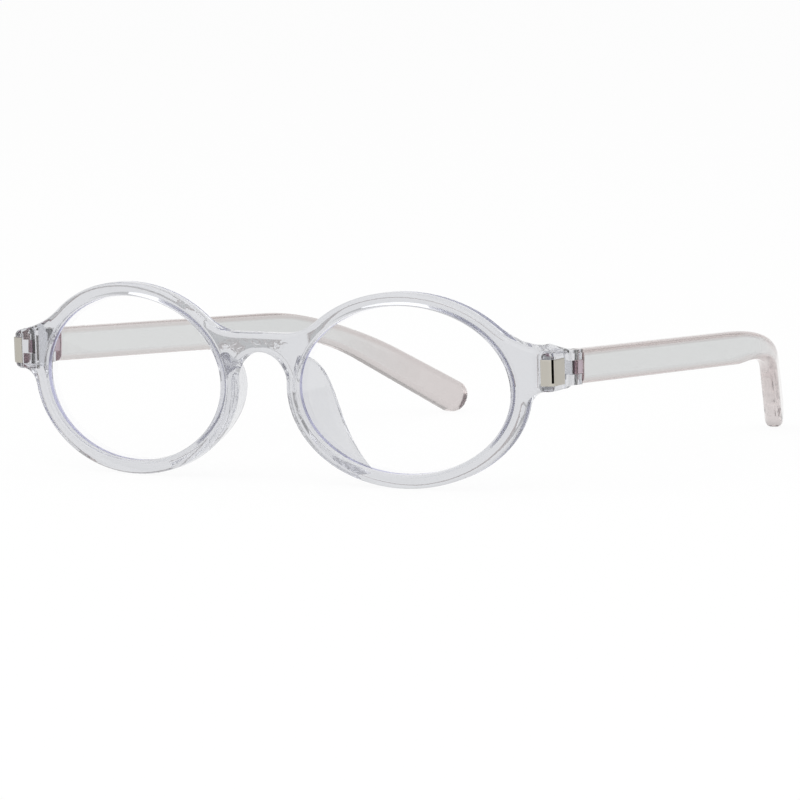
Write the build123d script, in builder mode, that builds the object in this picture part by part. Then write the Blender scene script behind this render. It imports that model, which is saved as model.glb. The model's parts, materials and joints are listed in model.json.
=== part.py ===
from build123d import *

import os
from math import asin, atan2, copysign, cos, degrees, hypot, radians, sin, sqrt, tan

# Oval eyeglasses moulded in clear plastic: a one-piece front with nose pads, two lenses,
# two temples on screwed knuckle hinges, and a bent metal plate round each corner.
# Millimetres and degrees. The front faces -Y, the temples run to +Y, +Z is up, and the
# glasses stand on the rims' lower edges and the temple tips. Left is the wearer's left, +X.

# Front, seen square on
lens_width = 48.0
lens_height = 35.0
lens_gap = 19.0
lens_cant_angle = 0.5
rim_width = 3.0
rim_depth = 3.8
rim_bottom_width = 2.8
front_radius = 305.0
front_tilt = 2.0
front_edge_radius = 1.2
rear_edge_radius = 1.0
opening_edge_radius = 0.45

# Bridge over the nose
bridge_arch_radius = 6.7
bridge_arch_above_lens = 0.2
bridge_height = 4.1
bridge_valley_radius = 13.0
bridge_arch_blend_radius = 4.0

# Lenses and the groove that holds them
lens_base_radius = 260.0
lens_thickness = 2.0
lens_setback = 0.9
lens_bevel_land = 0.4
lens_bevel_inset = 0.15
lens_fit_clearance = 0.04

# Nose pads, moulded with the front
pad_reach = 8.3
pad_span = 25.0
pad_top_below_arch = 0.3
pad_root_overlap = 0.5
pad_crest_below_top = 11.0
pad_tail_reach = 4.6
pad_tail_above_bottom = 3.6
pad_splay = 20.0
pad_thickness = 2.5
pad_inset = 0.3
pad_edge_radius = 0.9

# Endpieces, the blocks that turn back to the hinges
endpiece_reach = 5.9
endpiece_height = 8.0
endpiece_above_lens = 4.3
endpiece_wall = 4.6
endpiece_length = 8.0
endpiece_brow_angle = 14.0
endpiece_corner_radius = 1.4
endpiece_rear_radius = 12.0
endpiece_inner_radius = 2.6
endpiece_top_flare_radius = 22.0
endpiece_bottom_flare_radius = 4.0

# Hinges: two ears on the endpiece, one tongue on the temple, a screw through them
knuckle_radius = 1.7
knuckle_height = 7.2
tongue_height = 2.7
knuckle_side_clearance = 0.1
knuckle_rear_gap = 1.3
ear_root_depth = 1.5
temple_front_gap = 0.25
screw_diameter = 1.4
screw_head_diameter = 2.5
screw_head_height = 0.7
screw_head_sink = 0.1
screw_slot_width = 0.4
screw_slot_depth = 0.35
screw_turning_clearance = 0.06
screw_thread_clearance = 0.01

# Corner plates
plate_height = 5.4
plate_front_length = 2.6
plate_side_length = 4.4
plate_thickness = 0.8
plate_proud = 0.3
plate_fit_clearance = 0.02
plate_edge_radius = 0.15
plate_slot_width = 0.55
plate_slot_depth = 0.45
plate_slot_floor = 0.6

# Temples
temple_crest_length = 99.0
temple_heel_before_crest = 19.0
temple_turn_before_crest = 3.0
temple_tip_length = 42.3
temple_height = 7.2
temple_tip_height = 7.4
temple_thickness = 4.0
temple_lean = 3.5
temple_drop_angle = 26.8
temple_taper_angle = 2.0
temple_heel_angle = 6.0
temple_inward_angle = 21.5
temple_crest_radius = 90.0
temple_hollow_radius = 40.0
temple_heel_radius = 25.0
temple_inward_radius = 60.0
temple_edge_radius = 1.5
temple_outer_offset = 2.0
tip_end_radius = 3.4

# One overrun serves every cut and every blank that is trimmed
overrun = 5.0
edge_tolerance = 0.01
HALF = 0.5
RIGHT_ANGLE = 90
HALF_TURN = 180

sides = {"left": 1, "right": -1}
# An oval's seam lies at the end of its long axis, here kept on the nose side
seam_turn = {1: HALF_TURN, -1: 0}


def sag(x, radius):
    """Depth of an arc of this radius at the distance x from its apex."""
    return radius - sqrt(radius**2 - x**2)


# Frames of reference worked out from the sizes
lens_half_width = lens_width / 2
lens_half_height = lens_height / 2
lens_bevel_height = (lens_thickness - lens_bevel_land) / 2
lens_centre_x = lens_gap / 2 + lens_half_width
rim_half_width = lens_half_width + rim_width
rim_half_height = lens_half_height + rim_bottom_width
tilt_sin = sin(radians(front_tilt))
tilt_cos = cos(radians(front_tilt))
rim_low_depth = sag(lens_centre_x, front_radius) + rim_depth / 2
lens_centre_height = rim_half_height * tilt_cos - rim_low_depth * tilt_sin

front_centre = Vector(0, 0, lens_centre_height)
front_back = Vector(0, tilt_cos, tilt_sin)
front_up = Vector(0, -tilt_sin, tilt_cos)
front_plane = Plane(origin=front_centre, x_dir=(1, 0, 0), z_dir=-front_back)
plan_plane = Plane(origin=front_centre, x_dir=(1, 0, 0), z_dir=front_up)
front_side_plane = Plane(origin=front_centre, x_dir=front_back, z_dir=(1, 0, 0))
bridge_arch_top = bridge_arch_above_lens + bridge_arch_radius
bridge_top = bridge_arch_top + bridge_height
endpiece_top = endpiece_above_lens + endpiece_height / 2
endpiece_bottom = endpiece_above_lens - endpiece_height / 2
brow_slope = tan(radians(endpiece_brow_angle))


def front_point(x, depth, height):
    """Point of the front: across, rearwards from the apex, and up from the lens line."""
    return front_centre + Vector(x, 0, 0) + front_back * depth + front_up * height


# Hinge frame: y runs along the temple, x outwards, z along the screw
endpiece_outer_x = lens_centre_x + rim_half_width + endpiece_reach
front_width = 2 * endpiece_outer_x
endpiece_inner_x = endpiece_outer_x - endpiece_wall
endpiece_corner_depth = sag(endpiece_outer_x, front_radius)
endpiece_rear_depth = endpiece_corner_depth + endpiece_length
pivot_x = endpiece_outer_x - temple_outer_offset
pivot_depth = endpiece_rear_depth + knuckle_rear_gap + knuckle_radius
pivot = front_point(pivot_x, pivot_depth, endpiece_above_lens)
drop_sin = sin(radians(temple_drop_angle))
drop_cos = cos(radians(temple_drop_angle))
taper = radians(temple_taper_angle)
# The tip rests on the round of its lower corner, here placed along and below its top edge
tip_round_along = temple_tip_length - tip_end_radius
tip_round_below = temple_tip_height - tip_end_radius * (tan(taper) + 1 / cos(taper))
tip_centre_reach = temple_crest_length + tip_round_along * drop_cos - tip_round_below * drop_sin
tip_centre_drop = tip_round_along * drop_sin + tip_round_below * drop_cos - temple_height / 2
tip_centre_distance = hypot(tip_centre_reach, tip_centre_drop)
temple_slope = degrees(
    asin((pivot.Z - tip_end_radius) / tip_centre_distance)
    - atan2(tip_centre_drop, tip_centre_reach)
)
lean_sin = sin(radians(temple_lean))
lean_cos = cos(radians(temple_lean))
slope_sin = sin(radians(temple_slope))
slope_cos = cos(radians(temple_slope))
temple_out = Vector(lean_cos, lean_sin, 0)
temple_along = Vector(-lean_sin * slope_cos, lean_cos * slope_cos, -slope_sin)
hinge_up = temple_out.cross(temple_along)
hinge_plane = Plane(origin=pivot, x_dir=temple_out, z_dir=hinge_up)
temple_side_plane = Plane(origin=pivot, x_dir=temple_along, z_dir=temple_out)
slot_height = tongue_height + 2 * knuckle_side_clearance
ear_height = (knuckle_height - slot_height) / 2
temple_front = knuckle_radius + temple_front_gap


def lens_plane(side):
    """Plane on the front surface at a lens centre, facing out along the surface's normal."""
    wrap = asin(lens_centre_x / front_radius)
    normal = Vector(side * sin(wrap), 0, 0) - front_back * cos(wrap)
    centre = front_point(side * lens_centre_x, sag(lens_centre_x, front_radius), 0)
    return Plane(origin=centre, x_dir=front_up.cross(normal), z_dir=normal)


def lens_blank(side, growth):
    """Bevelled lens, grown all round by a clearance when it cuts its groove."""
    plane = lens_plane(side)
    section_plane = Plane(origin=plane.origin, x_dir=plane.x_dir, z_dir=plane.y_dir)
    bevel = lens_bevel_height + growth
    bevel_reach = bevel - lens_bevel_inset
    reach = lens_half_width + overrun
    front_depth = lens_setback - growth
    back_depth = lens_setback + lens_thickness + growth
    back_radius = lens_base_radius - (back_depth - front_depth)

    def front_curve(across):
        return (across, front_depth + sag(across, lens_base_radius))

    def back_curve(across):
        return (across, back_depth + sag(across, back_radius))

    with BuildPart() as blank:
        with BuildSketch(plane.offset(overrun)):
            Ellipse(
                lens_half_width + bevel_reach,
                lens_half_height + bevel_reach,
                rotation=seam_turn[side] + side * lens_cant_angle,
            )
        extrude(amount=-(back_depth + 2 * overrun))
        with BuildSketch(section_plane):
            with BuildLine():
                Line(front_curve(0), back_curve(0))
                ThreePointArc(back_curve(0), back_curve(reach / 2), back_curve(reach))
                Line(back_curve(reach), front_curve(reach))
                ThreePointArc(front_curve(reach), front_curve(reach / 2), front_curve(0))
            make_face()
        revolve(axis=Axis(plane.origin, plane.z_dir), mode=Mode.INTERSECT)
        chamfer(blank.edges().filter_by(lambda edge: edge.length > lens_width), length=bevel)
    return blank.part


def opening_cutter(side):
    """Oval prism through the rim, square to the lens, its wall in an upper and a lower half."""
    with BuildPart() as cutter:
        with BuildSketch(lens_plane(side).offset(overrun)):
            with BuildLine():
                for start_angle in (0, HALF_TURN):
                    EllipticalCenterArc(
                        (0, 0),
                        lens_half_width,
                        lens_half_height,
                        start_angle=start_angle,
                        arc_size=HALF_TURN,
                        rotation=side * lens_cant_angle,
                    )
            make_face()
        extrude(amount=-(pad_reach + 4 * overrun))
    return cutter.part


def plate_band(side, inner, outer, spare):
    """Bent strip round an endpiece corner, between two distances from its faces."""
    face_turn = asin(endpiece_outer_x / front_radius)
    corner = Vector(endpiece_outer_x, endpiece_corner_depth)
    along_face = Vector(-cos(face_turn), -sin(face_turn))
    out_of_face = Vector(sin(face_turn), -cos(face_turn))
    side_end_depth = endpiece_corner_depth + plate_side_length + spare
    face_end = corner + along_face * (plate_front_length + spare)

    def bend(distance):
        # The moved face line and the moved side line meet in the strip's corner
        along = distance * (1 - out_of_face.X) / along_face.X
        corner_depth = corner.Y + out_of_face.Y * distance + along_face.Y * along
        start = face_end + out_of_face * distance
        return FilletPolyline(
            (side * start.X, start.Y),
            (side * (endpiece_outer_x + distance), corner_depth),
            (side * (endpiece_outer_x + distance), side_end_depth),
            radius=endpiece_corner_radius + distance,
        )

    with BuildPart() as band:
        with BuildSketch(plan_plane.offset(endpiece_above_lens)):
            with BuildLine():
                outer_bend = bend(outer)
                inner_bend = bend(-inner)
                Line(outer_bend @ 0, inner_bend @ 0)
                Line(outer_bend @ 1, inner_bend @ 1)
            make_face()
        extrude(amount=plate_height / 2 + spare, both=True)
    return band.part


def depth_of(point):
    """Distance of a point behind the front's apex."""
    return (point - front_centre).dot(front_back)


def lies_on_front_curve(edge, radius):
    """True for an outline edge on the upright cylinder of this radius that shapes the front."""
    if edge.geom_type == GeomType.LINE:
        return False
    for share in (0, HALF, 1):
        point = edge @ share
        if abs(hypot(point.X, front_radius - depth_of(point)) - radius) > edge_tolerance:
            return False
    return True


def borders_opening(edge):
    """True for an edge on the wall of a lens opening, seen square to the lens."""
    point = edge @ HALF
    local = lens_plane(copysign(1, point.X)).to_local_coords(point)
    return hypot(local.X / lens_half_width, local.Y / lens_half_height) < 1 + edge_tolerance


def band_depth(x, share):
    """Depth of a point inside the front, a share of the way from its face to its back."""
    return share * rim_depth + sag(x, front_radius - share * rim_depth)


def endpiece_corners(side):
    """Corners of an endpiece seen square on, level below and sloping up to the brow above."""
    corners = (
        (side * lens_centre_x, endpiece_bottom),
        (side * endpiece_outer_x, endpiece_bottom),
        (side * endpiece_outer_x, endpiece_top),
        (side * lens_centre_x, endpiece_top + (endpiece_outer_x - lens_centre_x) * brow_slope),
    )
    return corners[::side]


def front_band():
    """Both rims, the bridge and the endpieces' faces, all as deep as the rims."""

    def at_height(vertex, height):
        return abs(vertex.Y - height) < edge_tolerance and abs(vertex.X) < endpiece_inner_x

    def on_brow(vertex):
        return at_height(vertex, endpiece_top + (endpiece_outer_x - abs(vertex.X)) * brow_slope)

    def is_arch_foot(vertex):
        # Where the arch meets the rims, a little above its centre
        radius = hypot(vertex.X, vertex.Y - bridge_arch_above_lens)
        return abs(radius - bridge_arch_radius) < edge_tolerance

    def across(x, share):
        return (x, band_depth(x, share))

    with BuildPart() as band:
        with BuildSketch(front_plane.offset(overrun)) as outline:
            with Locations((0, (bridge_arch_above_lens + bridge_top) / 2)):
                Rectangle(lens_gap + 2 * rim_width, bridge_top - bridge_arch_above_lens)
            with Locations((0, bridge_arch_above_lens)):
                Circle(bridge_arch_radius, mode=Mode.SUBTRACT)
            for side in sides.values():
                Polygon(*endpiece_corners(side), align=None)
                with Locations((side * lens_centre_x, 0)):
                    Ellipse(
                        rim_half_width,
                        rim_half_height,
                        rotation=seam_turn[side] + side * lens_cant_angle,
                    )
            arches = outline.vertices().filter_by(is_arch_foot)
            fillet(arches, radius=bridge_arch_blend_radius)
            fillet(outline.vertices().filter_by(on_brow), radius=endpiece_top_flare_radius)
            notches = outline.vertices().filter_by(lambda v: at_height(v, endpiece_bottom))
            fillet(notches, radius=endpiece_bottom_flare_radius)
            valleys = outline.vertices().filter_by(lambda v: at_height(v, bridge_top))
            fillet(valleys, radius=bridge_valley_radius)
        extrude(amount=-(endpiece_rear_depth + 2 * overrun))
        with BuildSketch(plan_plane):
            with BuildLine():
                for share in (0, 1):
                    ThreePointArc(
                        across(-front_width, share), across(0, share), across(front_width, share)
                    )
                Line(across(-front_width, 0), across(-front_width, 1))
                Line(across(front_width, 0), across(front_width, 1))
            make_face()
        extrude(amount=rim_half_height + overrun, both=True, mode=Mode.INTERSECT)
        back_radius = front_radius - rim_depth
        back_edges = band.edges().filter_by(lambda e: lies_on_front_curve(e, back_radius))
        fillet(back_edges, radius=rear_edge_radius)
    return band.part


def endpiece_return(side):
    """Block that turns the endpiece back to the hinge, rooted in the band's depth."""
    root_x = endpiece_inner_x - 2 * endpiece_inner_radius

    def across(x, share):
        return (side * x, band_depth(x, share))

    with BuildPart() as block:
        with BuildSketch(plan_plane.offset(endpiece_above_lens)) as plan:
            with BuildLine():
                back = ThreePointArc(
                    across(root_x, 1),
                    across((root_x + endpiece_inner_x) / 2, 1),
                    across(endpiece_inner_x, 1),
                )
                Polyline(
                    back @ 1,
                    (side * endpiece_inner_x, endpiece_rear_depth),
                    (side * endpiece_outer_x, endpiece_rear_depth),
                    across(endpiece_outer_x, HALF),
                    across(root_x, HALF),
                    back @ 0,
                )
            make_face()
            inner_corner = plan.vertices().sort_by_distance(back @ 1)[0]
            fillet(inner_corner, radius=endpiece_inner_radius)
        extrude(amount=endpiece_height, both=True)
        with BuildSketch(front_side_plane):
            with Locations((endpiece_rear_depth - endpiece_rear_radius, endpiece_above_lens)):
                Circle(endpiece_rear_radius)
        extrude(amount=front_width, both=True, mode=Mode.INTERSECT)
        with BuildSketch(front_plane.offset(overrun)):
            Polygon(*endpiece_corners(side), align=None)
        extrude(amount=-(endpiece_rear_depth + 2 * overrun), mode=Mode.INTERSECT)
    return block.part


def nose_pad(side):
    """Pad behind the rim's nose side: a slice of the rim's oval with a humped edge."""
    root_depth = rim_depth - pad_root_overlap
    splay = radians(pad_splay)
    pad_direction = front_back * cos(splay) + Vector(side * sin(splay), 0, 0)
    pad_top = bridge_arch_top - pad_top_below_arch
    pad_bottom = pad_top - pad_span
    pad_half_width = rim_half_width - pad_inset
    pad_half_height = rim_half_height - pad_inset
    with BuildPart() as pad:
        with BuildSketch(front_plane.offset(-root_depth)):
            with Locations((side * lens_centre_x, 0)):
                Ellipse(pad_half_width, pad_half_height, rotation=seam_turn[-side])
                Ellipse(
                    pad_half_width - pad_thickness,
                    pad_half_height - pad_thickness,
                    rotation=seam_turn[-side],
                    mode=Mode.SUBTRACT,
                )
            with Locations((side * lens_centre_x / 2, 0)):
                Rectangle(lens_centre_x, 2 * rim_half_height, mode=Mode.INTERSECT)
        extrude(amount=pad_reach + overrun, dir=pad_direction)
        with BuildSketch(front_side_plane):
            with BuildLine():
                crest = Spline(
                    (root_depth, pad_top),
                    (rim_depth + pad_reach, pad_top - pad_crest_below_top),
                    (rim_depth + pad_tail_reach, pad_bottom + pad_tail_above_bottom),
                    (root_depth, pad_bottom),
                )
                Line(crest @ 1, crest @ 0)
            make_face()
        extrude(amount=front_width, both=True, mode=Mode.INTERSECT)
        crest_edges = pad.edges().filter_by(
            lambda e: depth_of(e @ HALF) > rim_depth + pad_edge_radius
        )
        fillet(crest_edges, radius=pad_edge_radius)
    return pad.part


def hinge_frame(side):
    """Plan plane at a pivot: x to the wearer's left, y back along the temple."""
    out = Vector(side * temple_out.X, temple_out.Y, temple_out.Z)
    along = Vector(side * temple_along.X, temple_along.Y, temple_along.Z)
    up = out.cross(along) * side
    origin = Vector(side * pivot.X, pivot.Y, pivot.Z)
    return Plane(origin=origin, x_dir=out * side, z_dir=up)


def hinge_ears(side):
    """Two ears, square at the outer rear edge, where the open temple stops against them."""
    plane = hinge_frame(side)
    ear_root = -(knuckle_radius + knuckle_rear_gap + ear_root_depth)
    outer = side * knuckle_radius
    with BuildPart() as ears:
        with BuildSketch(plane.offset(slot_height / 2), plane.offset(-slot_height / 2 - ear_height)):
            with BuildLine():
                Polyline((-outer, 0), (-outer, ear_root), (outer, ear_root), (outer, knuckle_radius))
                Line((outer, knuckle_radius), (0, knuckle_radius))
                TangentArc((0, knuckle_radius), (-outer, 0), tangent=(-outer, 0))
            make_face()
        extrude(amount=ear_height)
    return ears.part


def screw_bore(side):
    """Counterbored hole down through both ears."""
    plane = hinge_frame(side)
    top = knuckle_height / 2
    with BuildPart() as bore:
        with BuildSketch(plane.offset(-top - overrun)):
            Circle(screw_diameter / 2 + screw_thread_clearance)
        extrude(amount=knuckle_height + 2 * overrun)
        with BuildSketch(plane.offset(top - screw_head_height - screw_head_sink)):
            Circle(screw_head_diameter / 2 + screw_turning_clearance)
        extrude(amount=screw_head_height + overrun)
    return bore.part


def plate_stands_proud(edge):
    """True for an edge on a corner plate's outer face, clear of the bend."""
    point = edge @ HALF
    beyond_side = abs(point.X) - endpiece_outer_x
    face_depth = sag(min(abs(point.X), endpiece_outer_x), front_radius)
    return max(beyond_side, face_depth - depth_of(point)) > plate_proud * HALF


def corner_plate(side):
    """Bent plate with a slot down its fold, open at the top."""
    face_turn = asin(endpiece_outer_x / front_radius)
    bend_centre_depth = endpiece_corner_radius * (1 - sin(face_turn)) / cos(face_turn)
    bend_centre = Vector(
        side * (endpiece_outer_x - endpiece_corner_radius),
        endpiece_corner_depth + bend_centre_depth,
    )
    fold_angle = radians((degrees(face_turn) - RIGHT_ANGLE) * HALF)
    fold = Vector(side * cos(fold_angle), sin(fold_angle))
    slot_reach = plate_slot_depth + overrun
    fold_radius = endpiece_corner_radius + plate_proud - plate_slot_depth
    slot_centre = bend_centre + fold * (fold_radius + slot_reach / 2)
    slot_turn = degrees(atan2(fold.Y, fold.X))
    with BuildPart() as plate:
        add(plate_band(side, plate_thickness - plate_proud, plate_proud, 0))
        fillet(plate.edges().filter_by(plate_stands_proud), radius=plate_edge_radius)
        with BuildSketch(plan_plane.offset(endpiece_above_lens + plate_height / 2 + overrun)):
            with Locations(Location(slot_centre, slot_turn)):
                Rectangle(slot_reach, plate_slot_width)
        extrude(amount=-(plate_height + overrun - plate_slot_floor), mode=Mode.SUBTRACT)
    return plate.part


def hinge_screw(side):
    """Slotted cheese-head screw that fills its bore to the lower ear's underside."""
    plane = hinge_frame(side)
    head_top = knuckle_height / 2 - screw_head_sink
    with BuildPart() as screw:
        with BuildSketch(plane.offset(-knuckle_height / 2)):
            Circle(screw_diameter / 2)
        extrude(amount=knuckle_height - screw_head_sink)
        with BuildSketch(plane.offset(head_top - screw_head_height)):
            Circle(screw_head_diameter / 2)
        extrude(amount=screw_head_height)
        with BuildSketch(plane.offset(head_top)):
            Rectangle(screw_head_diameter + overrun, screw_slot_width)
        extrude(amount=-screw_slot_depth, mode=Mode.SUBTRACT)
    return screw.part


def temple_edge_is_long(edge):
    """True for an edge that runs along the temple or round its tip, not across a face."""
    chord = (edge @ 1 - edge @ 0).normalized()
    across = abs(chord.dot(temple_out)) > 1 - edge_tolerance
    upright = abs(chord.dot(hinge_up)) > 1 - edge_tolerance
    at_front = (edge.center() - pivot).dot(temple_along) < temple_front + edge_tolerance
    return not (across or upright or at_front)


def temple_blank():
    """Left temple: its side view and its plan, each an outline, kept where both agree."""
    half_height = temple_height / 2
    crest = Vector(temple_crest_length, half_height)
    tip_top = crest + Vector(drop_cos, -drop_sin) * temple_tip_length
    tip_bottom = tip_top - Vector(drop_sin, drop_cos) * temple_tip_height
    heel = Vector(temple_crest_length - temple_heel_before_crest, -half_height)
    # The hollow lies where the line that rises from the heel meets the tip's lower edge
    heel_slope = tan(radians(temple_heel_angle))
    tip_slope = tan(radians(temple_drop_angle + temple_taper_angle))
    to_tip = tip_bottom - heel
    hollow_along = (to_tip.Y + to_tip.X * tip_slope) / (heel_slope + tip_slope)
    hollow = heel + Vector(hollow_along, hollow_along * heel_slope)
    half_thickness = temple_thickness / 2
    inner_offset = temple_outer_offset - temple_thickness
    inward = radians(temple_inward_angle)
    turn_along = temple_crest_length - temple_turn_before_crest
    turn_shift = half_thickness * tan(inward / 2)
    plan_reach = temple_tip_length + overrun
    plan_end = Vector(
        temple_outer_offset - half_thickness - plan_reach * sin(inward),
        turn_along + plan_reach * cos(inward),
    )
    plan_out = Vector(cos(inward), sin(inward)) * half_thickness
    with BuildPart() as temple:
        with BuildSketch(temple_side_plane) as side_view:
            with BuildLine():
                Polyline(
                    (temple_front, half_height),
                    crest,
                    tip_top,
                    tip_bottom,
                    hollow,
                    heel,
                    (temple_front, -half_height),
                    close=True,
                )
            make_face()
            for corner, radius in (
                (tip_top, tip_end_radius),
                (tip_bottom, tip_end_radius),
                (crest, temple_crest_radius),
                (hollow, temple_hollow_radius),
                (heel, temple_heel_radius),
            ):
                fillet(side_view.vertices().sort_by_distance(corner)[0], radius=radius)
        extrude(amount=temple_tip_length, both=True)
        with BuildSketch(hinge_plane) as plan_view:
            turn_outer = (temple_outer_offset, turn_along + turn_shift)
            turn_inner = (inner_offset, turn_along - turn_shift)
            with BuildLine():
                Polyline(
                    (temple_outer_offset, 0),
                    turn_outer,
                    plan_end + plan_out,
                    plan_end - plan_out,
                    turn_inner,
                    (inner_offset, 0),
                    close=True,
                )
            make_face()
            outer_turn = plan_view.vertices().sort_by_distance(turn_outer)[0]
            fillet(outer_turn, radius=temple_inward_radius + half_thickness)
            inner_turn = plan_view.vertices().sort_by_distance(turn_inner)[0]
            fillet(inner_turn, radius=temple_inward_radius - half_thickness)
        extrude(amount=temple_tip_length, both=True, mode=Mode.INTERSECT)
        fillet(temple.edges().filter_by(temple_edge_is_long), radius=temple_edge_radius)
        with BuildSketch(hinge_plane.offset(-tongue_height / 2)):
            Circle(knuckle_radius)
            with Locations((0, temple_front)):
                Rectangle(2 * knuckle_radius, 2 * temple_front)
        extrude(amount=tongue_height)
        with BuildSketch(hinge_plane.offset(-knuckle_height)):
            Circle(screw_diameter / 2 + screw_turning_clearance)
        extrude(amount=2 * knuckle_height, mode=Mode.SUBTRACT)
    return temple.part


with BuildPart() as lens_left:
    add(lens_blank(sides["left"], 0))

with BuildPart() as lens_right:
    add(lens_blank(sides["right"], 0))

with BuildPart() as front_frame:
    add(front_band())
    for side in sides.values():
        add(endpiece_return(side))
    corner_edges = front_frame.edges().filter_by(
        lambda e: abs(abs(e.center().X) - endpiece_outer_x) < edge_tolerance
        and abs(depth_of(e.center()) - endpiece_corner_depth) < edge_tolerance
    )
    fillet(corner_edges, radius=endpiece_corner_radius)
    face_edges = front_frame.edges().filter_by(lambda e: lies_on_front_curve(e, front_radius))
    fillet(face_edges, radius=front_edge_radius)
    for side in sides.values():
        add(opening_cutter(side), mode=Mode.SUBTRACT)
    for radius in (front_radius, front_radius - rim_depth):
        curve_edges = front_frame.edges().filter_by(lambda e: lies_on_front_curve(e, radius))
        fillet(curve_edges.filter_by(borders_opening), radius=opening_edge_radius)
    for side in sides.values():
        add(nose_pad(side))
        add(lens_blank(side, lens_fit_clearance), mode=Mode.SUBTRACT)
        add(hinge_ears(side))
        add(screw_bore(side), mode=Mode.SUBTRACT)
        pocket_depth = plate_thickness - plate_proud + plate_fit_clearance
        pocket = plate_band(side, pocket_depth, plate_proud, plate_fit_clearance)
        add(pocket, mode=Mode.SUBTRACT)

with BuildPart() as corner_plate_left:
    add(corner_plate(sides["left"]))

with BuildPart() as corner_plate_right:
    add(corner_plate(sides["right"]))

with BuildPart() as hinge_screw_left:
    add(hinge_screw(sides["left"]))

with BuildPart() as hinge_screw_right:
    add(hinge_screw(sides["right"]))

with BuildPart() as temple_left:
    add(temple_blank())

with BuildPart() as temple_right:
    add(temple_left.part)
    mirror(about=Plane.YZ, mode=Mode.REPLACE)

pieces = {
    "front_frame": front_frame.part,
    "lens_left": lens_left.part,
    "lens_right": lens_right.part,
    "corner_plate_left": corner_plate_left.part,
    "corner_plate_right": corner_plate_right.part,
    "hinge_screw_left": hinge_screw_left.part,
    "hinge_screw_right": hinge_screw_right.part,
    "temple_left": temple_left.part,
    "temple_right": temple_right.part,
}

# The shared origin is the middle of the footprint, on the table
solids = [solid for piece in pieces.values() for solid in piece.solids()]
bounds = Compound(solids).bounding_box()
placement = Location((0, -bounds.center().Y, -bounds.min.Z))

os.makedirs("parts", exist_ok=True)
for name, piece in pieces.items():
    placed = piece.moved(placement)
    placed.label = name
    export_step(placed, f"parts/{name}.step")
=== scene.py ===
import json
import logging
from dataclasses import dataclass
from enum import Enum
from math import cos, radians, sin
from typing import Any, Callable

import bmesh
import bpy
from mathutils import Matrix, Vector

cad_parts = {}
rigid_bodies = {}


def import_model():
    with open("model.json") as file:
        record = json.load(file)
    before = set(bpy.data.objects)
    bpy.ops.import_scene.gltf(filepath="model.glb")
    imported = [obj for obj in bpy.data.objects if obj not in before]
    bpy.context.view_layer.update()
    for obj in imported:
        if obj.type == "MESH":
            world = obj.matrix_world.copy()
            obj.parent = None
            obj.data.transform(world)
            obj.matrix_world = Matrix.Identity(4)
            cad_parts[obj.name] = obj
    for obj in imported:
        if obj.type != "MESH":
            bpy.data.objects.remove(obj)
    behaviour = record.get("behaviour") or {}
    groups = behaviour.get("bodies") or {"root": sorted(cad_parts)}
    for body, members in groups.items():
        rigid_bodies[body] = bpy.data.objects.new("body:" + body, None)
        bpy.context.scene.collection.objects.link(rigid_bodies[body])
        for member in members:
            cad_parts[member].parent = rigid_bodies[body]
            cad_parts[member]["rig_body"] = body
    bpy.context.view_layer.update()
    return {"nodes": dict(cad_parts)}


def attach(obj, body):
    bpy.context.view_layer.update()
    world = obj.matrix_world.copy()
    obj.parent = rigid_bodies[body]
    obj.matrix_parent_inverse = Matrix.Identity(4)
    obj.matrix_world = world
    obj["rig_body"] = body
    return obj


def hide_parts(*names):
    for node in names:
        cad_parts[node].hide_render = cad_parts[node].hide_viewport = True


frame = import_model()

MM = 0.001
IMAGE_WIDTH_PX = 800
SENSOR_WIDTH_MM = 36.0
WELD_DISTANCE_MM = 0.0005
SHARP_ANGLE = 34.0
WHITE = "#ffffff"
SMOOTH_STEP = {"interpolation_type": "SMOOTHSTEP"}
COLOUR_MIX = {"data_type": "RGBA"}
# Sockets that share their name with others of the same node, so they go by number
MIX_SHARE, MIX_FIRST, MIX_SECOND, MIX_RESULT = 0, 6, 7, 2
SHADER_FIRST, SHADER_SECOND = 1, 2
LOG = logging.getLogger("eyeglasses")

Colour = tuple[float, float, float, float]
Socket = bpy.types.NodeSocket


class Side(Enum):
    """Wearer's side of the frame."""

    LEFT = "left"
    RIGHT = "right"

    @property
    def sign(self) -> int:
        """Direction of this side along X."""
        return 1 if self is Side.LEFT else -1


def linear(hex_colour: str, alpha: float = 1.0) -> Colour:
    """Turn an sRGB hex colour to the linear values that a shader takes.

    Args:
        hex_colour: Colour as six hex digits, with or without a leading mark.
        alpha: Opacity to go with it.

    Returns:
        Linear red, green and blue, and the alpha.
    """
    digits = hex_colour.lstrip("#")
    channels = [int(digits[i : i + 2], 16) / 255 for i in (0, 2, 4)]
    red, green, blue = (
        c / 12.92 if c <= 0.04045 else ((c + 0.055) / 1.055) ** 2.4 for c in channels
    )
    return (red, green, blue, alpha)


def new_tree(name: str) -> tuple[bpy.types.Material, bpy.types.NodeTree]:
    """Make an empty node material.

    Args:
        name: Name of the material.

    Returns:
        The material and its node tree, with no nodes in it.
    """
    material = bpy.data.materials.new(name)
    material.use_nodes = True
    material.node_tree.nodes.clear()
    return material, material.node_tree


def add_node(
    tree: bpy.types.NodeTree,
    kind: str,
    settings: dict[str, Any] | None = None,
    inputs: dict[str | int, Any] | None = None,
) -> bpy.types.Node:
    """Add a node with its settings, its socket values and its links.

    Args:
        tree: Tree that gets the node.
        kind: Blender's name for the kind of node.
        settings: Attributes to set on the node.
        inputs: Value, or output socket to link, for each input named or numbered.

    Returns:
        The new node.
    """
    node = tree.nodes.new(kind)
    for key, value in (settings or {}).items():
        setattr(node, key, value)
    for key, value in (inputs or {}).items():
        if isinstance(value, Socket):
            tree.links.new(value, node.inputs[key])
        else:
            node.inputs[key].default_value = value
    return node


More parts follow.
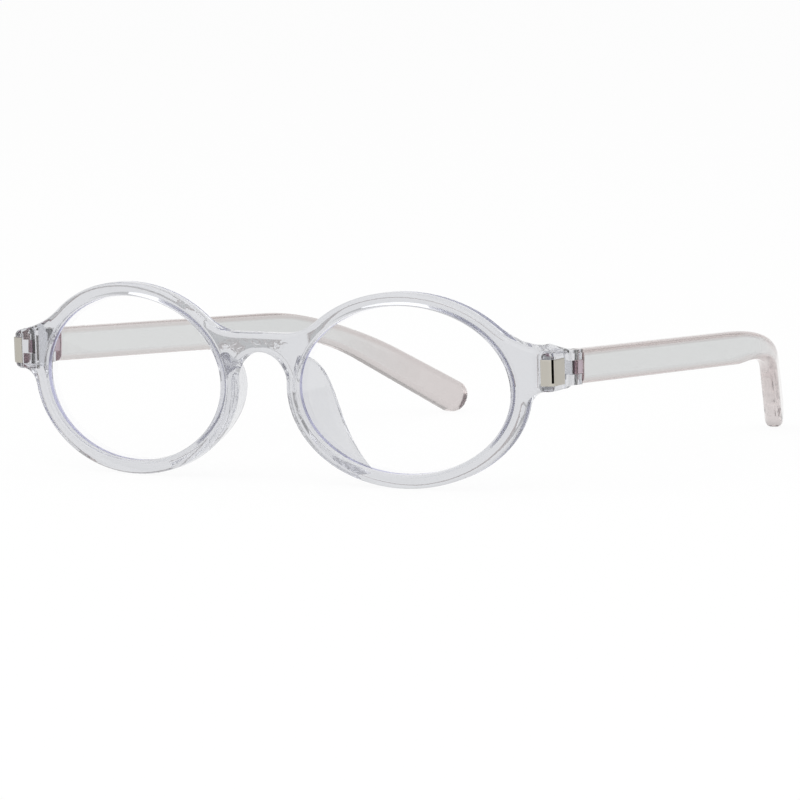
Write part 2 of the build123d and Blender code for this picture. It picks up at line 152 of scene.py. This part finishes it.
def seen_in_plastic(tree: bpy.types.NodeTree, path: bpy.types.Node) -> Socket:
    """Tell the rays that come from a reflection, or through plastic, from all others.

    Args:
        tree: Tree that gets the node.
        path: Light path node of the tree.

    Returns:
        The socket that gives 1 for such a ray and 0 for any other.
    """
    either = add_node(
        tree,
        "ShaderNodeMath",
        {"operation": "MAXIMUM"},
        {0: path.outputs["Is Glossy Ray"], 1: path.outputs["Is Transmission Ray"]},
    )
    return either.outputs["Value"]


def per_metre(wavelength_mm: float) -> float:
    """Scale of a noise texture on Object coordinates whose grains are this wide."""
    return 1 / (wavelength_mm * MM)


def add_object(name: str, data: bpy.types.ID) -> bpy.types.Object:
    """Put a mesh, a lamp or a camera in the scene.

    Args:
        name: Name of the new object.
        data: What it shows.

    Returns:
        The new object, at the origin.
    """
    new_object = bpy.data.objects.new(name, data)
    bpy.context.scene.collection.objects.link(new_object)
    return new_object


@dataclass(frozen=True)
class ClearPlastic:
    """Clear plastic, moulded and tumbled to a polish, so it shines but is never quite flat.

    The surface tint shows on every face. The body colour deepens with the length of the
    light's way through the plastic, so it gathers in rounded edges and in the tips. The
    roughness varies by a share of itself, as a faint haze. With a gate, the place on the
    middle plane where the plastic was injected, flow marks ripple the surface beside it.
    """

    name: str
    tint: str
    body_colour: str = WHITE
    body_density: float = 0.0
    ior: float = 1.49
    roughness: float = 0.03
    haze_share: float = 0.4
    haze_width_mm: float = 1.2
    ripple_width_mm: float = 4.0
    ripple_height_mm: float = 0.01
    gate_half_width_mm: float = 0.0
    gate_ripple_width_mm: float = 3.0
    gate_ripple_height_mm: float = 0.05
    gate_ripple_swirl: float = 1.5

    def material(self) -> bpy.types.Material:
        """Make the material.

        Returns:
            A refracting plastic with a faint ripple and haze.
        """
        material, tree = new_tree(self.name)
        place = add_node(tree, "ShaderNodeTexCoord")
        bump = add_node(
            tree,
            "ShaderNodeBump",
            inputs={"Height": self.height(tree, place), "Distance": 1.0, "Strength": 1.0},
        )
        haze = add_node(
            tree,
            "ShaderNodeTexNoise",
            inputs={
                "Vector": place.outputs["Object"],
                "Scale": per_metre(self.haze_width_mm),
            },
        )
        polish = add_node(
            tree,
            "ShaderNodeMapRange",
            inputs={
                "Value": haze.outputs["Fac"],
                "To Min": self.roughness * (1 - self.haze_share),
                "To Max": self.roughness * (1 + self.haze_share),
            },
        )
        shader = add_node(
            tree,
            "ShaderNodeBsdfPrincipled",
            inputs={
                "Base Color": self.colour(tree, place),
                "IOR": self.ior,
                "Transmission Weight": 1.0,
                "Roughness": polish.outputs["Result"],
                "Normal": bump.outputs["Normal"],
            },
        )
        outputs = {"Surface": shader.outputs["BSDF"]}
        if self.body_density:
            body = add_node(
                tree,
                "ShaderNodeVolumeAbsorption",
                inputs={"Color": linear(self.body_colour), "Density": self.body_density},
            )
            outputs["Volume"] = body.outputs["Volume"]
        add_node(tree, "ShaderNodeOutputMaterial", inputs=outputs)
        return material

    def colour(self, tree: bpy.types.NodeTree, place: bpy.types.Node) -> Colour | Socket:
        """Give the surface tint, the same all over.

        Args:
            tree: Tree that takes nodes where the tint varies, as with painted shade or
                reflection.
            place: Texture coordinate node of the tree.

        Returns:
            The tint, or the socket that gives it.
        """
        return linear(self.tint)

    def height(self, tree: bpy.types.NodeTree, place: bpy.types.Node) -> Socket:
        """Height of the surface's ripple, in metres, with flow marks beside a gate.

        Args:
            tree: Tree that gets the nodes.
            place: Texture coordinate node of the tree.

        Returns:
            The socket that gives the height.
        """
        ripple = add_node(
            tree,
            "ShaderNodeTexNoise",
            inputs={
                "Vector": place.outputs["Object"],
                "Scale": per_metre(self.ripple_width_mm),
            },
        )
        height = add_node(
            tree,
            "ShaderNodeMath",
            {"operation": "MULTIPLY"},
            {0: ripple.outputs["Fac"], 1: self.ripple_height_mm * MM},
        )
        if not self.gate_half_width_mm:
            return height.outputs["Value"]
        flow = add_node(
            tree,
            "ShaderNodeTexNoise",
            inputs={
                "Vector": place.outputs["Object"],
                "Scale": per_metre(self.gate_ripple_width_mm),
                "Distortion": self.gate_ripple_swirl,
            },
        )
        axes = add_node(
            tree, "ShaderNodeSeparateXYZ", inputs={"Vector": place.outputs["Object"]}
        )
        across = add_node(
            tree, "ShaderNodeMath", {"operation": "ABSOLUTE"}, {0: axes.outputs["X"]}
        )
        flow_height = add_node(
            tree,
            "ShaderNodeMapRange",
            SMOOTH_STEP,
            {
                "Value": across.outputs["Value"],
                "From Min": self.gate_half_width_mm * MM,
                "From Max": 0.0,
                "To Min": 0.0,
                "To Max": self.gate_ripple_height_mm * MM,
            },
        )
        marks = add_node(
            tree,
            "ShaderNodeMath",
            {"operation": "MULTIPLY"},
            {0: flow.outputs["Fac"], 1: flow_height.outputs["Result"]},
        )
        both = add_node(
            tree,
            "ShaderNodeMath",
            {"operation": "ADD"},
            {0: height.outputs["Value"], 1: marks.outputs["Value"]},
        )
        return both.outputs["Value"]


@dataclass(frozen=True)
class TempleNylon(ClearPlastic):
    """Clear plastic with a trace of rose, and painted shade on its rounded edges and its
    tip.

    The painted edge shade, a rose grey, is full where the surface's normal rises or falls
    by the edge slope. The painted tip shade deepens rearwards, and the hinge tongue is
    painted dark mauve. The tip's and the tongue's places are along Y, which runs rearwards.
    """

    # Painted shade: a rose grey on the rounded edges, where the normal tilts up or down
    painted_edge_shade: str = "#c6bcba"
    edge_slope: float = 0.4
    # Painted shade: a rose grey that deepens towards the tip
    painted_tip_shade: str = "#cfc8c7"
    tip_start_mm: float = 30.0
    tip_end_mm: float = 74.0
    tongue_tint: str = "#8f7483"
    tongue_start_mm: float = -55.57
    tongue_end_mm: float = -55.77

    def colour(self, tree: bpy.types.NodeTree, place: bpy.types.Node) -> Colour | Socket:
        """Paint shade on the rounded edges, then on the tip, then darken the hinge tongue
        to mauve.

        Args:
            tree: Tree that gets the nodes.
            place: Texture coordinate node of the tree.

        Returns:
            The socket that gives the tint.
        """
        normal = add_node(
            tree, "ShaderNodeSeparateXYZ", inputs={"Vector": place.outputs["Normal"]}
        )
        axes = add_node(
            tree, "ShaderNodeSeparateXYZ", inputs={"Vector": place.outputs["Object"]}
        )
        slope = add_node(
            tree, "ShaderNodeMath", {"operation": "ABSOLUTE"}, {0: normal.outputs["Z"]}
        )
        along = axes.outputs["Y"]
        tint: Colour | Socket = linear(self.tint)
        for value, start, end, new_tint in (
            # Painted shade on the rounded top and bottom edges
            (slope.outputs["Value"], 0.0, self.edge_slope, self.painted_edge_shade),
            # Painted shade that deepens towards the tip
            (along, self.tip_start_mm * MM, self.tip_end_mm * MM, self.painted_tip_shade),
            # Dark mauve on the hinge tongue, forward of this band
            (along, self.tongue_start_mm * MM, self.tongue_end_mm * MM, self.tongue_tint),
        ):
            share = add_node(
                tree,
                "ShaderNodeMapRange",
                SMOOTH_STEP,
                {"Value": value, "From Min": start, "From Max": end},
            )
            mix = add_node(
                tree,
                "ShaderNodeMix",
                COLOUR_MIX,
                {
                    MIX_SHARE: share.outputs["Result"],
                    MIX_FIRST: tint,
                    MIX_SECOND: linear(new_tint),
                },
            )
            tint = mix.outputs[MIX_RESULT]
        return tint


@dataclass(frozen=True)
class GroundEdge(ClearPlastic):
    """Ground edge of a coated lens, with a painted reflection of the coat's violet on the
    side within the lens.
    """

    # Painted reflection of the coat's violet
    painted_coat_reflection: str = "#c6c6f6"

    def colour(self, tree: bpy.types.NodeTree, place: bpy.types.Node) -> Colour | Socket:
        """Paint the coat's violet reflection on the inner side of the edge.

        Args:
            tree: Tree that gets the nodes.
            place: Texture coordinate node of the tree, not needed here.

        Returns:
            The socket that gives the tint.
        """
        geometry = add_node(tree, "ShaderNodeNewGeometry")
        # Painted reflection: the coat's violet on the faces seen from within the lens
        mix = add_node(
            tree,
            "ShaderNodeMix",
            COLOUR_MIX,
            {
                MIX_SHARE: geometry.outputs["Backfacing"],
                MIX_FIRST: linear(self.tint),
                MIX_SECOND: linear(self.painted_coat_reflection),
            },
        )
        return mix.outputs[MIX_RESULT]


@dataclass(frozen=True)
class BrushedMetal:
    """Metal with fine upright lines, which stretch its shine across them.

    The roughness varies by a share of itself from line to line.
    """

    name: str
    colour: str
    roughness: float = 0.32
    polish_share: float = 0.2
    line_width_mm: float = 0.12
    line_length_mm: float = 6.0
    line_height_mm: float = 0.003

    def material(self) -> bpy.types.Material:
        """Make the material.

        Returns:
            A metal with fine upright lines.
        """
        material, tree = new_tree(self.name)
        place = add_node(tree, "ShaderNodeTexCoord")
        stretch = add_node(
            tree,
            "ShaderNodeMapping",
            inputs={
                "Vector": place.outputs["Object"],
                "Scale": (1.0, 1.0, self.line_width_mm / self.line_length_mm),
            },
        )
        lines = add_node(
            tree,
            "ShaderNodeTexNoise",
            inputs={
                "Vector": stretch.outputs["Vector"],
                "Scale": per_metre(self.line_width_mm),
            },
        )
        bump = add_node(
            tree,
            "ShaderNodeBump",
            inputs={
                "Height": lines.outputs["Fac"],
                "Distance": self.line_height_mm * MM,
                "Strength": 1.0,
            },
        )
        polish = add_node(
            tree,
            "ShaderNodeMapRange",
            inputs={
                "Value": lines.outputs["Fac"],
                "To Min": self.roughness * (1 - self.polish_share),
                "To Max": self.roughness * (1 + self.polish_share),
            },
        )
        shader = add_node(
            tree,
            "ShaderNodeBsdfPrincipled",
            inputs={
                "Base Color": linear(self.colour),
                "Metallic": 1.0,
                "Roughness": polish.outputs["Result"],
                "Normal": bump.outputs["Normal"],
            },
        )
        add_node(
            tree, "ShaderNodeOutputMaterial", inputs={"Surface": shader.outputs["BSDF"]}
        )
        return material


# Clear nylon, injection moulded: a pale cool grey that deepens in the thick parts, with
# soft flow marks round the bridge
FRONT_PLASTIC = ClearPlastic(
    "clear_moulded_nylon",
    "#dcdde0",
    body_colour="#f1f1f3",
    body_density=60.0,
    gate_half_width_mm=13.0,
)
# The same plastic with a trace of rose, with painted shade on its edges and its tip, and a
# dark mauve tongue
TEMPLE_PLASTIC = TempleNylon(
    "rose_clear_moulded_nylon", "#d3d5d5", body_colour="#f8f4f4", body_density=35.0
)
# Cast lens resin, polished: its faces are so clear and even that they hardly show
LENS_RESIN = ClearPlastic(
    "coated_lens_resin", WHITE, ior=1.5, roughness=0.0, ripple_height_mm=0.0
)
# Its ground edge: matt, with a painted reflection of the coat's faint violet where it is
# seen from within the lens
LENS_EDGE = GroundEdge(
    "ground_lens_edge", "#f4f4fb", ior=1.5, roughness=0.35, ripple_height_mm=0.0
)
# Steel, plated and brushed upright: a warm satin grey whose shine spreads sideways. The
# brush lines are drawn wider than real ones, or they wouldn't show
PLATE_METAL = BrushedMetal("champagne_plated_steel", "#bfbbb2")
# The same steel, near black on the slot's walls, floor and back, so the slot reads as a
# dark line
SLOT_METAL = BrushedMetal("dark_slot_steel", "#131210", roughness=0.6)
# Turned steel: plain grey, with short marks
SCREW_STEEL = BrushedMetal("turned_steel", "#9c9b98", line_length_mm=0.4)


def merged_copy(
    node: str, name: str, sharp_angle: float = SHARP_ANGLE
) -> bpy.types.Object:
    """Copy a CAD node as one welded, smoothly shaded mesh that stands for the node.

    Args:
        node: Name of the CAD node.
        name: Name of the new piece.
        sharp_angle: Edges that turn by this much or more, in degrees, stay crisp.

    Returns:
        The new piece, already riding on the node's body.
    """
    source = frame["nodes"][node]
    mesh = source.data.copy()
    mesh.name = name
    mesh.materials.clear()
    work = bmesh.new()
    work.from_mesh(mesh)
    bmesh.ops.remove_doubles(work, verts=work.verts, dist=WELD_DISTANCE_MM * MM)
    for face in work.faces:
        face.smooth = True
        face.material_index = 0
    for edge in work.edges:
        if len(edge.link_faces) == 2:
            edge.smooth = edge.calc_face_angle() < radians(sharp_angle)
    work.to_mesh(mesh)
    work.free()
    piece = add_object(name, mesh)
    normals = piece.modifiers.new("area weighted normals", "WEIGHTED_NORMAL")
    normals.keep_sharp = True
    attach(piece, source["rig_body"])
    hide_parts(node)
    return piece


def paint_faces(
    piece: bpy.types.Object,
    material: bpy.types.Material,
    chosen: Callable[[bpy.types.MeshPolygon], bool],
) -> None:
    """Give some faces of a piece a material of their own.

    Args:
        piece: Piece that already has its main material.
        material: Material for the chosen faces.
        chosen: Says whether a face is one of them.
    """
    piece.data.materials.append(material)
    index = len(piece.data.materials) - 1
    for face in piece.data.polygons:
        if chosen(face):
            face.material_index = index


@dataclass
class MouldedFront:
    """One-piece clear front: rims, bridge, nose pads, endpieces and hinge ears."""

    plastic: ClearPlastic = FRONT_PLASTIC

    def build(self) -> list[bpy.types.Object]:
        """Make the front.

        Returns:
            The front as one piece.
        """
        front = merged_copy("front_frame", "moulded_front")
        front.data.materials.append(self.plastic.material())
        return [front]


@dataclass
class Lens:
    """Bevelled oval lens."""

    side: Side
    resin: ClearPlastic = LENS_RESIN
    edge: GroundEdge = LENS_EDGE
    sharp_angle: float = 20.0
    face_cosine: float = 0.9

    def build(self) -> list[bpy.types.Object]:
        """Make the lens.

        Returns:
            The lens as one piece.
        """
        lens = merged_copy(
            f"lens_{self.side.value}", f"oval_lens_{self.side.value}", self.sharp_angle
        )
        lens.data.materials.append(self.resin.material())
        # The faces that look forwards add up to the lens's own direction
        axis = Vector()
        for face in lens.data.polygons:
            if face.normal.y < 0:
                axis += face.normal * face.area
        axis.normalize()
        paint_faces(
            lens,
            self.edge.material(),
            lambda face: abs(face.normal.dot(axis)) < self.face_cosine,
        )
        return [lens]


@dataclass
class Temple:
    """Clear temple with its hinge tongue and turned-down tip."""

    side: Side
    plastic: ClearPlastic = TEMPLE_PLASTIC

    def build(self) -> list[bpy.types.Object]:
        """Make the temple.

        Returns:
            The temple as one piece.
        """
        temple = merged_copy(
            f"temple_{self.side.value}", f"clear_temple_{self.side.value}"
        )
        temple.data.materials.append(self.plastic.material())
        return [temple]


@dataclass
class CornerPlate:
    """Bent metal plate round an endpiece's corner, with a dark slot down its fold.

    The fold's direction, in degrees from X, points out of the corner. The slot's sizes are
    measured from the centre of the bend, across that direction and along it.
    """

    side: Side
    metal: BrushedMetal = PLATE_METAL
    slot_metal: BrushedMetal = SLOT_METAL
    bend_centre_mm: tuple[float, float] = (65.0, -67.54)
    fold_turn: float = -38.71
    slot_half_width_mm: float = 0.4
    slot_back_mm: float = 1.35
    wall_cosine: float = 0.9
    back_cosine: float = 0.99

    def build(self) -> list[bpy.types.Object]:
        """Make the plate.

        Returns:
            The plate as one piece.
        """
        plate = merged_copy(
            f"corner_plate_{self.side.value}", f"bent_plate_{self.side.value}"
        )
        plate.data.materials.append(self.metal.material())
        centre_x, centre_y = self.bend_centre_mm
        centre = Vector((self.side.sign * centre_x, centre_y, 0.0)) * MM
        turn = radians(self.fold_turn)
        fold = Vector((self.side.sign * cos(turn), sin(turn), 0.0))
        across = Vector((-fold.y, fold.x, 0.0))

        def in_slot(face: bpy.types.MeshPolygon) -> bool:
            """Tell the slot's own faces: its two side walls, its floor and its back.

            Args:
                face: Face of the plate.

            Returns:
                True for a face of the slot.
            """
            place = face.center - centre
            out = place.dot(fold)
            wall = abs(face.normal.dot(across)) > self.wall_cosine
            floor = face.normal.z > self.wall_cosine
            back = face.normal.dot(fold) > self.back_cosine and out < self.slot_back_mm * MM
            between = abs(place.dot(across)) < self.slot_half_width_mm * MM
            return between and (back or (wall or floor) and out > 0)

        # The slot's walls, floor and back take the near-black steel
        paint_faces(plate, self.slot_metal.material(), in_slot)
        return [plate]


@dataclass
class HingeScrew:
    """Slotted hinge screw."""

    side: Side
    metal: BrushedMetal = SCREW_STEEL

    def build(self) -> list[bpy.types.Object]:
        """Make the screw.

        Returns:
            The screw as one piece.
        """
        screw = merged_copy(
            f"hinge_screw_{self.side.value}", f"slotted_screw_{self.side.value}"
        )
        screw.data.materials.append(self.metal.material())
        return [screw]


@dataclass(frozen=True)
class Softbox:
    """Square soft lamp that faces the glasses."""

    name: str
    spot_mm: tuple[float, float, float]
    size_mm: float
    watts: float

    def build(self) -> None:
        """Hang the lamp."""
        lamp = bpy.data.lights.new(self.name, "AREA")
        lamp.shape = "SQUARE"
        lamp.size = self.size_mm * MM
        lamp.energy = self.watts
        box = add_object(self.name, lamp)
        box.location = Vector(self.spot_mm) * MM
        box.rotation_euler = box.location.to_track_quat("Z", "Y").to_euler()


@dataclass
class Studio:
    """White floor, white surroundings, soft lamps and the photograph's camera.

    Angles are in degrees. The camera's azimuth runs from straight ahead of the glasses to
    the wearer's left, and the line between the two side flags is turned from X by the flag
    turn. A direction's rise is the height of its unit vector, and its flag share is the
    length of that vector along the line between the flags.
    """

    camera_azimuth: float = 31.43
    camera_elevation: float = 5.46
    camera_roll: float = -0.6
    camera_distance_mm: float = 1222.4
    camera_target_mm: tuple[float, float, float] = (34.48, -75.82, 18.66)
    camera_clip_mm: tuple[float, float] = (10.0, 36000.0)
    focal_px: float = 5992.0
    floor_size_mm: float = 9000.0
    floor_colour: str = "#f4f4f4"
    floor_glow: float = 0.93
    world_strength: float = 0.75
    ceiling_rise: tuple[float, float] = (0.1, 0.95)
    ceiling_shade: float = 0.75
    flag_turn: float = 31.4
    flag_share: tuple[float, float] = (0.4, 0.95)
    flag_shade: float = 0.45
    # Clear plastic traps light for many bounces, and goes black where they run out
    light_bounces: int = 32
    softboxes: tuple[Softbox, ...] = (
        Softbox("key_softbox", (-500.0, -900.0, 1100.0), 2200.0, 12.0),
        Softbox("fill_softbox", (1100.0, -500.0, 700.0), 1800.0, 6.0),
    )

    def set_camera(self) -> None:
        """Place the camera where the photograph was taken from."""
        azimuth, elevation = radians(self.camera_azimuth), radians(self.camera_elevation)
        back = Vector(
            (sin(azimuth) * cos(elevation), -cos(azimuth) * cos(elevation), sin(elevation))
        )
        right = Vector((cos(azimuth), sin(azimuth), 0.0))
        up = back.cross(right)
        roll = radians(self.camera_roll)
        rolled_right = right * cos(roll) + up * sin(roll)
        rolled_up = up * cos(roll) - right * sin(roll)
        spot = Vector(self.camera_target_mm) * MM + back * self.camera_distance_mm * MM
        lens = bpy.data.cameras.new("photo_camera")
        lens.sensor_width = SENSOR_WIDTH_MM
        lens.lens = self.focal_px * SENSOR_WIDTH_MM / IMAGE_WIDTH_PX
        lens.clip_start, lens.clip_end = (limit * MM for limit in self.camera_clip_mm)
        camera = add_object("photo_camera", lens)
        columns = Matrix((rolled_right, rolled_up, back)).transposed()
        camera.matrix_world = Matrix.Translation(spot) @ columns.to_4x4()
        bpy.context.scene.camera = camera

    def reflected_white(self, tree: bpy.types.NodeTree) -> Socket:
        """Give the surroundings' strength, which falls off overhead and at two side flags.

        Args:
            tree: Tree that gets the nodes.

        Returns:
            The socket that gives the strength in each direction.
        """
        place = add_node(tree, "ShaderNodeTexCoord")
        direction = place.outputs["Generated"]
        axes = add_node(tree, "ShaderNodeSeparateXYZ", inputs={"Vector": direction})
        turn = radians(self.flag_turn)
        sideways = add_node(
            tree,
            "ShaderNodeVectorMath",
            {"operation": "DOT_PRODUCT"},
            {0: direction, 1: (cos(turn), sin(turn), 0.0)},
        )
        flag_share = add_node(
            tree,
            "ShaderNodeMath",
            {"operation": "ABSOLUTE"},
            {0: sideways.outputs["Value"]},
        )
        ceiling, flags = (
            add_node(
                tree,
                "ShaderNodeMapRange",
                SMOOTH_STEP,
                {
                    "Value": value,
                    "From Min": start,
                    "From Max": end,
                    "To Min": 1.0,
                    "To Max": shade,
                },
            )
            for value, (start, end), shade in (
                (axes.outputs["Z"], self.ceiling_rise, self.ceiling_shade),
                (flag_share.outputs["Value"], self.flag_share, self.flag_shade),
            )
        )
        strength = add_node(
            tree,
            "ShaderNodeMath",
            {"operation": "MULTIPLY"},
            {0: ceiling.outputs["Result"], 1: flags.outputs["Result"]},
        )
        return strength.outputs["Value"]

    def set_world(self) -> None:
        """Surround the set with white that reflects with grey overhead and at the flags."""
        world = bpy.data.worlds.new("white_studio")
        world.use_nodes = True
        tree = world.node_tree
        tree.nodes.clear()
        path = add_node(tree, "ShaderNodeLightPath")
        lighting, reflected, backdrop = (
            add_node(
                tree,
                "ShaderNodeBackground",
                inputs={"Color": linear(WHITE), "Strength": strength},
            )
            for strength in (self.world_strength, self.reflected_white(tree), 1.0)
        )
        indirect = add_node(
            tree,
            "ShaderNodeMixShader",
            inputs={
                "Fac": seen_in_plastic(tree, path),
                SHADER_FIRST: lighting.outputs["Background"],
                SHADER_SECOND: reflected.outputs["Background"],
            },
        )
        surroundings = add_node(
            tree,
            "ShaderNodeMixShader",
            inputs={
                "Fac": path.outputs["Is Camera Ray"],
                SHADER_FIRST: indirect.outputs["Shader"],
                SHADER_SECOND: backdrop.outputs["Background"],
            },
        )
        add_node(
            tree,
            "ShaderNodeOutputWorld",
            inputs={"Surface": surroundings.outputs["Shader"]},
        )
        bpy.context.scene.world = world

    def floor_material(self) -> bpy.types.Material:
        """Make the floor's finish.

        Returns:
            Matt white card that glows just enough to look white where it is seen.
        """
        material, tree = new_tree("matt_white_card")
        card = add_node(
            tree, "ShaderNodeBsdfDiffuse", inputs={"Color": linear(self.floor_colour)}
        )
        glow = add_node(
            tree, "ShaderNodeEmission", inputs={"Color": linear(WHITE), "Strength": 1.0}
        )
        path = add_node(tree, "ShaderNodeLightPath")
        seen = add_node(
            tree,
            "ShaderNodeMath",
            {"operation": "MAXIMUM"},
            {0: seen_in_plastic(tree, path), 1: path.outputs["Is Camera Ray"]},
        )
        glow_share = add_node(
            tree,
            "ShaderNodeMath",
            {"operation": "MULTIPLY"},
            {0: seen.outputs["Value"], 1: self.floor_glow},
        )
        mix = add_node(
            tree,
            "ShaderNodeMixShader",
            inputs={
                "Fac": glow_share.outputs["Value"],
                SHADER_FIRST: card.outputs["BSDF"],
                SHADER_SECOND: glow.outputs["Emission"],
            },
        )
        add_node(
            tree, "ShaderNodeOutputMaterial", inputs={"Surface": mix.outputs["Shader"]}
        )
        return material

    def set_floor(self) -> None:
        """Lay a white floor that keeps a faint shadow."""
        mesh = bpy.data.meshes.new("white_floor")
        work = bmesh.new()
        bmesh.ops.create_grid(
            work, x_segments=1, y_segments=1, size=self.floor_size_mm / 2 * MM
        )
        work.to_mesh(mesh)
        work.free()
        floor = add_object("white_floor", mesh)
        mesh.materials.append(self.floor_material())

    def build(self) -> None:
        """Set up the whole studio."""
        scene = bpy.context.scene
        scene.view_settings.view_transform = "Standard"
        scene.cycles.max_bounces = self.light_bounces
        scene.cycles.glossy_bounces = self.light_bounces
        scene.cycles.transmission_bounces = self.light_bounces
        self.set_camera()
        self.set_world()
        self.set_floor()
        for softbox in self.softboxes:
            softbox.build()


Assembly = MouldedFront | Lens | CornerPlate | HingeScrew | Temple


def main() -> None:
    """Build every sub-assembly, then the studio, and report each piece."""
    logging.basicConfig(level=logging.INFO, format="%(name)s %(message)s")
    assemblies: list[Assembly] = [MouldedFront()]
    for side in Side:
        assemblies += [Lens(side), CornerPlate(side), HingeScrew(side), Temple(side)]
    for assembly in assemblies:
        for piece in assembly.build():
            LOG.info("%s: %d faces", piece.name, len(piece.data.polygons))
    Studio().build()


if __name__ == "__main__":
    main()
